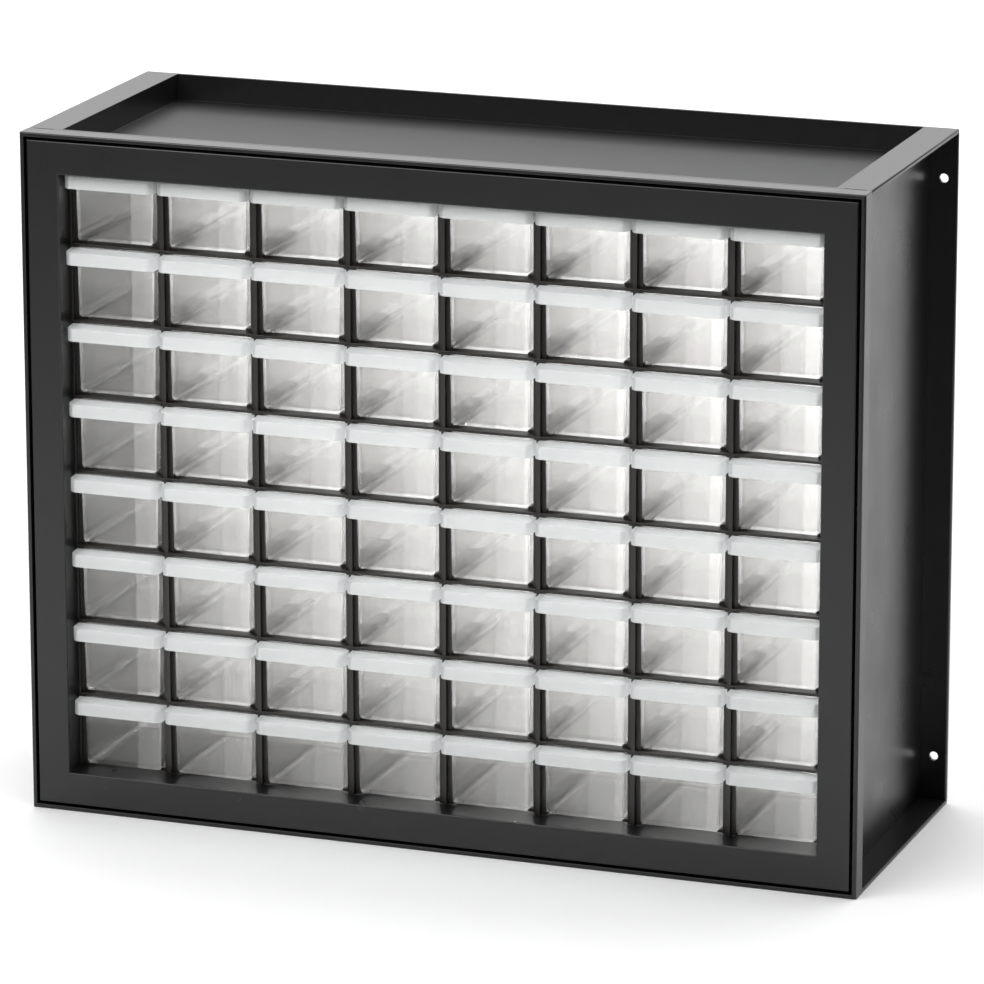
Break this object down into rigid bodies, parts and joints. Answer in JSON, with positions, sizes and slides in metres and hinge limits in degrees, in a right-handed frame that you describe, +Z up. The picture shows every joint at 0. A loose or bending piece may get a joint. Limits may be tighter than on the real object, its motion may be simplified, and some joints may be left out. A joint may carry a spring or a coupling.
{
  "type": "parts cabinet",
  "caption": "Stackable small-parts cabinet: a black moulded casing with a tray top and a front grid of clear pull-out drawers, each with a frosted pull lip",
  "frame": {"origin": "middle of the footprint, on the surface that the cabinet stands on", "axes": "+X to the right across the front, +Y from the front to the back, +Z up; drawers slide out along -Y"},
  "size_m": [0.4952, 0.184, 0.398],
  "materials": {
    "casing_plastic": "satin black moulded polystyrene with a fine grain",
    "grid_plastic": "black moulded polystyrene, a little glossier than the casing",
    "drawer_plastic": "clear moulded polystyrene with a frosted pull lip"
  },
  "bodies": {
    "cabinet": {"front_collar": "casing_plastic", "front_bezel": "casing_plastic", "top_tray": "casing_plastic", "bottom_tray": "casing_plastic", "left_side_panel": "casing_plastic", "right_side_panel": "casing_plastic", "lattice": "grid_plastic", "runners": "grid_plastic"},
    "drawer_r1_c1": {"drawer_r1_c1": "drawer_plastic"},
    "drawer_r1_c2": {"drawer_r1_c2": "drawer_plastic"},
    "drawer_r1_c3": {"drawer_r1_c3": "drawer_plastic"},
    "drawer_r1_c4": {"drawer_r1_c4": "drawer_plastic"},
    "drawer_r1_c5": {"drawer_r1_c5": "drawer_plastic"},
    "drawer_r1_c6": {"drawer_r1_c6": "drawer_plastic"},
    "drawer_r1_c7": {"drawer_r1_c7": "drawer_plastic"},
    "drawer_r1_c8": {"drawer_r1_c8": "drawer_plastic"},
    "drawer_r2_c1": {"drawer_r2_c1": "drawer_plastic"},
    "drawer_r2_c2": {"drawer_r2_c2": "drawer_plastic"},
    "drawer_r2_c3": {"drawer_r2_c3": "drawer_plastic"},
    "drawer_r2_c4": {"drawer_r2_c4": "drawer_plastic"},
    "drawer_r2_c5": {"drawer_r2_c5": "drawer_plastic"},
    "drawer_r2_c6": {"drawer_r2_c6": "drawer_plastic"},
    "drawer_r2_c7": {"drawer_r2_c7": "drawer_plastic"},
    "drawer_r2_c8": {"drawer_r2_c8": "drawer_plastic"},
    "drawer_r3_c1": {"drawer_r3_c1": "drawer_plastic"},
    "drawer_r3_c2": {"drawer_r3_c2": "drawer_plastic"},
    "drawer_r3_c3": {"drawer_r3_c3": "drawer_plastic"},
    "drawer_r3_c4": {"drawer_r3_c4": "drawer_plastic"},
    "drawer_r3_c5": {"drawer_r3_c5": "drawer_plastic"},
    "drawer_r3_c6": {"drawer_r3_c6": "drawer_plastic"},
    "drawer_r3_c7": {"drawer_r3_c7": "drawer_plastic"},
    "drawer_r3_c8": {"drawer_r3_c8": "drawer_plastic"},
    "drawer_r4_c1": {"drawer_r4_c1": "drawer_plastic"},
    "drawer_r4_c2": {"drawer_r4_c2": "drawer_plastic"},
    "drawer_r4_c3": {"drawer_r4_c3": "drawer_plastic"},
    "drawer_r4_c4": {"drawer_r4_c4": "drawer_plastic"},
    "drawer_r4_c5": {"drawer_r4_c5": "drawer_plastic"},
    "drawer_r4_c6": {"drawer_r4_c6": "drawer_plastic"},
    "drawer_r4_c7": {"drawer_r4_c7": "drawer_plastic"},
    "drawer_r4_c8": {"drawer_r4_c8": "drawer_plastic"},
    "drawer_r5_c1": {"drawer_r5_c1": "drawer_plastic"},
    "drawer_r5_c2": {"drawer_r5_c2": "drawer_plastic"},
    "drawer_r5_c3": {"drawer_r5_c3": "drawer_plastic"},
    "drawer_r5_c4": {"drawer_r5_c4": "drawer_plastic"},
    "drawer_r5_c5": {"drawer_r5_c5": "drawer_plastic"},
    "drawer_r5_c6": {"drawer_r5_c6": "drawer_plastic"},
    "drawer_r5_c7": {"drawer_r5_c7": "drawer_plastic"},
    "drawer_r5_c8": {"drawer_r5_c8": "drawer_plastic"},
    "drawers_r6_c1_c2": {"drawers_r6_c1_c2": "drawer_plastic"},
    "drawers_r6_c3_c4": {"drawers_r6_c3_c4": "drawer_plastic"},
    "drawers_r6_c5_c6": {"drawers_r6_c5_c6": "drawer_plastic"},
    "drawers_r6_c7_c8": {"drawers_r6_c7_c8": "drawer_plastic"},
    "drawers_r7_c1_c2": {"drawers_r7_c1_c2": "drawer_plastic"},
    "drawers_r7_c3_c4": {"drawers_r7_c3_c4": "drawer_plastic"},
    "drawers_r7_c5_c6": {"drawers_r7_c5_c6": "drawer_plastic"},
    "drawers_r7_c7_c8": {"drawers_r7_c7_c8": "drawer_plastic"},
    "drawers_r8_c1_c2": {"drawers_r8_c1_c2": "drawer_plastic"},
    "drawers_r8_c3_c4": {"drawers_r8_c3_c4": "drawer_plastic"},
    "drawers_r8_c5_c6": {"drawers_r8_c5_c6": "drawer_plastic"},
    "drawers_r8_c7_c8": {"drawers_r8_c7_c8": "drawer_plastic"}
  },
  "joints": [
    {"name": "drawer_r1_c1_slide", "type": "slide", "parent": "cabinet", "child": "drawer_r1_c1", "axis": [0, -1, 0], "range_m": [0, 0.1169]},
    {"name": "drawer_r1_c2_slide", "type": "slide", "parent": "cabinet", "child": "drawer_r1_c2", "axis": [0, -1, 0], "range_m": [0, 0.1169]},
    {"name": "drawer_r1_c3_slide", "type": "slide", "parent": "cabinet", "child": "drawer_r1_c3", "axis": [0, -1, 0], "range_m": [0, 0.1169]},
    {"name": "drawer_r1_c4_slide", "type": "slide", "parent": "cabinet", "child": "drawer_r1_c4", "axis": [0, -1, 0], "range_m": [0, 0.1169]},
    {"name": "drawer_r1_c5_slide", "type": "slide", "parent": "cabinet", "child": "drawer_r1_c5", "axis": [0, -1, 0], "range_m": [0, 0.1169]},
    {"name": "drawer_r1_c6_slide", "type": "slide", "parent": "cabinet", "child": "drawer_r1_c6", "axis": [0, -1, 0], "range_m": [0, 0.1169]},
    {"name": "drawer_r1_c7_slide", "type": "slide", "parent": "cabinet", "child": "drawer_r1_c7", "axis": [0, -1, 0], "range_m": [0, 0.1169]},
    {"name": "drawer_r1_c8_slide", "type": "slide", "parent": "cabinet", "child": "drawer_r1_c8", "axis": [0, -1, 0], "range_m": [0, 0.1169]},
    {"name": "drawer_r2_c1_slide", "type": "slide", "parent": "cabinet", "child": "drawer_r2_c1", "axis": [0, -1, 0], "range_m": [0, 0.1169]},
    {"name": "drawer_r2_c2_slide", "type": "slide", "parent": "cabinet", "child": "drawer_r2_c2", "axis": [0, -1, 0], "range_m": [0, 0.1169]},
    {"name": "drawer_r2_c3_slide", "type": "slide", "parent": "cabinet", "child": "drawer_r2_c3", "axis": [0, -1, 0], "range_m": [0, 0.1169]},
    {"name": "drawer_r2_c4_slide", "type": "slide", "parent": "cabinet", "child": "drawer_r2_c4", "axis": [0, -1, 0], "range_m": [0, 0.1169]},
    {"name": "drawer_r2_c5_slide", "type": "slide", "parent": "cabinet", "child": "drawer_r2_c5", "axis": [0, -1, 0], "range_m": [0, 0.1169]},
    {"name": "drawer_r2_c6_slide", "type": "slide", "parent": "cabinet", "child": "drawer_r2_c6", "axis": [0, -1, 0], "range_m": [0, 0.1169]},
    {"name": "drawer_r2_c7_slide", "type": "slide", "parent": "cabinet", "child": "drawer_r2_c7", "axis": [0, -1, 0], "range_m": [0, 0.1169]},
    {"name": "drawer_r2_c8_slide", "type": "slide", "parent": "cabinet", "child": "drawer_r2_c8", "axis": [0, -1, 0], "range_m": [0, 0.1169]},
    {"name": "drawer_r3_c1_slide", "type": "slide", "parent": "cabinet", "child": "drawer_r3_c1", "axis": [0, -1, 0], "range_m": [0, 0.1169]},
    {"name": "drawer_r3_c2_slide", "type": "slide", "parent": "cabinet", "child": "drawer_r3_c2", "axis": [0, -1, 0], "range_m": [0, 0.1169]},
    {"name": "drawer_r3_c3_slide", "type": "slide", "parent": "cabinet", "child": "drawer_r3_c3", "axis": [0, -1, 0], "range_m": [0, 0.1169]},
    {"name": "drawer_r3_c4_slide", "type": "slide", "parent": "cabinet", "child": "drawer_r3_c4", "axis": [0, -1, 0], "range_m": [0, 0.1169]},
    {"name": "drawer_r3_c5_slide", "type": "slide", "parent": "cabinet", "child": "drawer_r3_c5", "axis": [0, -1, 0], "range_m": [0, 0.1169]},
    {"name": "drawer_r3_c6_slide", "type": "slide", "parent": "cabinet", "child": "drawer_r3_c6", "axis": [0, -1, 0], "range_m": [0, 0.1169]},
    {"name": "drawer_r3_c7_slide", "type": "slide", "parent": "cabinet", "child": "drawer_r3_c7", "axis": [0, -1, 0], "range_m": [0, 0.1169]},
    {"name": "drawer_r3_c8_slide", "type": "slide", "parent": "cabinet", "child": "drawer_r3_c8", "axis": [0, -1, 0], "range_m": [0, 0.1169]},
    {"name": "drawer_r4_c1_slide", "type": "slide", "parent": "cabinet", "child": "drawer_r4_c1", "axis": [0, -1, 0], "range_m": [0, 0.1169]},
    {"name": "drawer_r4_c2_slide", "type": "slide", "parent": "cabinet", "child": "drawer_r4_c2", "axis": [0, -1, 0], "range_m": [0, 0.1169]},
    {"name": "drawer_r4_c3_slide", "type": "slide", "parent": "cabinet", "child": "drawer_r4_c3", "axis": [0, -1, 0], "range_m": [0, 0.1169]},
    {"name": "drawer_r4_c4_slide", "type": "slide", "parent": "cabinet", "child": "drawer_r4_c4", "axis": [0, -1, 0], "range_m": [0, 0.1169]},
    {"name": "drawer_r4_c5_slide", "type": "slide", "parent": "cabinet", "child": "drawer_r4_c5", "axis": [0, -1, 0], "range_m": [0, 0.1169]},
    {"name": "drawer_r4_c6_slide", "type": "slide", "parent": "cabinet", "child": "drawer_r4_c6", "axis": [0, -1, 0], "range_m": [0, 0.1169]},
    {"name": "drawer_r4_c7_slide", "type": "slide", "parent": "cabinet", "child": "drawer_r4_c7", "axis": [0, -1, 0], "range_m": [0, 0.1169]},
    {"name": "drawer_r4_c8_slide", "type": "slide", "parent": "cabinet", "child": "drawer_r4_c8", "axis": [0, -1, 0], "range_m": [0, 0.1169]},
    {"name": "drawer_r5_c1_slide", "type": "slide", "parent": "cabinet", "child": "drawer_r5_c1", "axis": [0, -1, 0], "range_m": [0, 0.1169]},
    {"name": "drawer_r5_c2_slide", "type": "slide", "parent": "cabinet", "child": "drawer_r5_c2", "axis": [0, -1, 0], "range_m": [0, 0.1169]},
    {"name": "drawer_r5_c3_slide", "type": "slide", "parent": "cabinet", "child": "drawer_r5_c3", "axis": [0, -1, 0], "range_m": [0, 0.1169]},
    {"name": "drawer_r5_c4_slide", "type": "slide", "parent": "cabinet", "child": "drawer_r5_c4", "axis": [0, -1, 0], "range_m": [0, 0.1169]},
    {"name": "drawer_r5_c5_slide", "type": "slide", "parent": "cabinet", "child": "drawer_r5_c5", "axis": [0, -1, 0], "range_m": [0, 0.1169]},
    {"name": "drawer_r5_c6_slide", "type": "slide", "parent": "cabinet", "child": "drawer_r5_c6", "axis": [0, -1, 0], "range_m": [0, 0.1169]},
    {"name": "drawer_r5_c7_slide", "type": "slide", "parent": "cabinet", "child": "drawer_r5_c7", "axis": [0, -1, 0], "range_m": [0, 0.1169]},
    {"name": "drawer_r5_c8_slide", "type": "slide", "parent": "cabinet", "child": "drawer_r5_c8", "axis": [0, -1, 0], "range_m": [0, 0.1169]},
    {"name": "drawers_r6_c1_c2_slide", "type": "slide", "parent": "cabinet", "child": "drawers_r6_c1_c2", "axis": [0, -1, 0], "range_m": [0, 0.1169]},
    {"name": "drawers_r6_c3_c4_slide", "type": "slide", "parent": "cabinet", "child": "drawers_r6_c3_c4", "axis": [0, -1, 0], "range_m": [0, 0.1169]},
    {"name": "drawers_r6_c5_c6_slide", "type": "slide", "parent": "cabinet", "child": "drawers_r6_c5_c6", "axis": [0, -1, 0], "range_m": [0, 0.1169]},
    {"name": "drawers_r6_c7_c8_slide", "type": "slide", "parent": "cabinet", "child": "drawers_r6_c7_c8", "axis": [0, -1, 0], "range_m": [0, 0.1169]},
    {"name": "drawers_r7_c1_c2_slide", "type": "slide", "parent": "cabinet", "child": "drawers_r7_c1_c2", "axis": [0, -1, 0], "range_m": [0, 0.1169]},
    {"name": "drawers_r7_c3_c4_slide", "type": "slide", "parent": "cabinet", "child": "drawers_r7_c3_c4", "axis": [0, -1, 0], "range_m": [0, 0.1169]},
    {"name": "drawers_r7_c5_c6_slide", "type": "slide", "parent": "cabinet", "child": "drawers_r7_c5_c6", "axis": [0, -1, 0], "range_m": [0, 0.1169]},
    {"name": "drawers_r7_c7_c8_slide", "type": "slide", "parent": "cabinet", "child": "drawers_r7_c7_c8", "axis": [0, -1, 0], "range_m": [0, 0.1169]},
    {"name": "drawers_r8_c1_c2_slide", "type": "slide", "parent": "cabinet", "child": "drawers_r8_c1_c2", "axis": [0, -1, 0], "range_m": [0, 0.1169]},
    {"name": "drawers_r8_c3_c4_slide", "type": "slide", "parent": "cabinet", "child": "drawers_r8_c3_c4", "axis": [0, -1, 0], "range_m": [0, 0.1169]},
    {"name": "drawers_r8_c5_c6_slide", "type": "slide", "parent": "cabinet", "child": "drawers_r8_c5_c6", "axis": [0, -1, 0], "range_m": [0, 0.1169]},
    {"name": "drawers_r8_c7_c8_slide", "type": "slide", "parent": "cabinet", "child": "drawers_r8_c7_c8", "axis": [0, -1, 0], "range_m": [0, 0.1169]}
  ]
}
